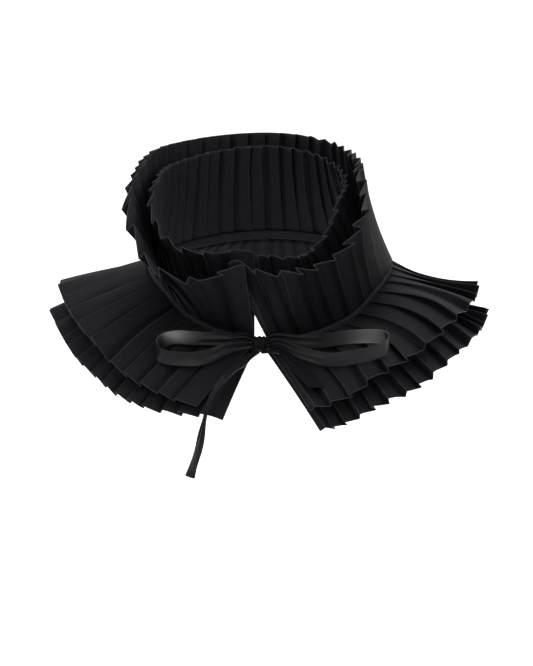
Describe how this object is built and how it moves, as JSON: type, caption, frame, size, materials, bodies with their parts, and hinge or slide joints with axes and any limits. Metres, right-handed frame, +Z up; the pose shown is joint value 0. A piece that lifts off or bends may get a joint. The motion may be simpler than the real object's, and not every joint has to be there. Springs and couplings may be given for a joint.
{
  "type": "pleated collar with ribbon tie",
  "caption": "Hollow worn collar: knife-pleated layers fall over the shoulders and stand round the neck from one gathered casing, tied in front with a ribbon bow.",
  "frame": {"origin": "the middle of the oval neck seam, on the neck's axis, where the wearer's neck holds the collar", "axes": "+X to the right as the front is looked at, +Y to the back, +Z up along the neck"},
  "size_m": [0.2772, 0.2579, 0.185],
  "materials": {
    "pleated_chiffon": "sheer crisp chiffon, knife pleated, matt with a faint sheen",
    "gathered_casing": "the same chiffon, folded and gathered on the ribbon, matt",
    "satin_ribbon": "narrow satin ribbon, soft gloss on its face"
  },
  "bodies": {
    "root": {"cape_under": "pleated_chiffon", "cape_upper": "pleated_chiffon", "frill_outer": "pleated_chiffon", "frill_inner": "pleated_chiffon", "neck_casing": "gathered_casing", "ribbon_knot": "satin_ribbon", "ribbon_loop_left": "satin_ribbon", "ribbon_loop_right": "satin_ribbon", "ribbon_tail_left": "satin_ribbon", "ribbon_tail_right": "satin_ribbon"}
  },
  "joints": []
}
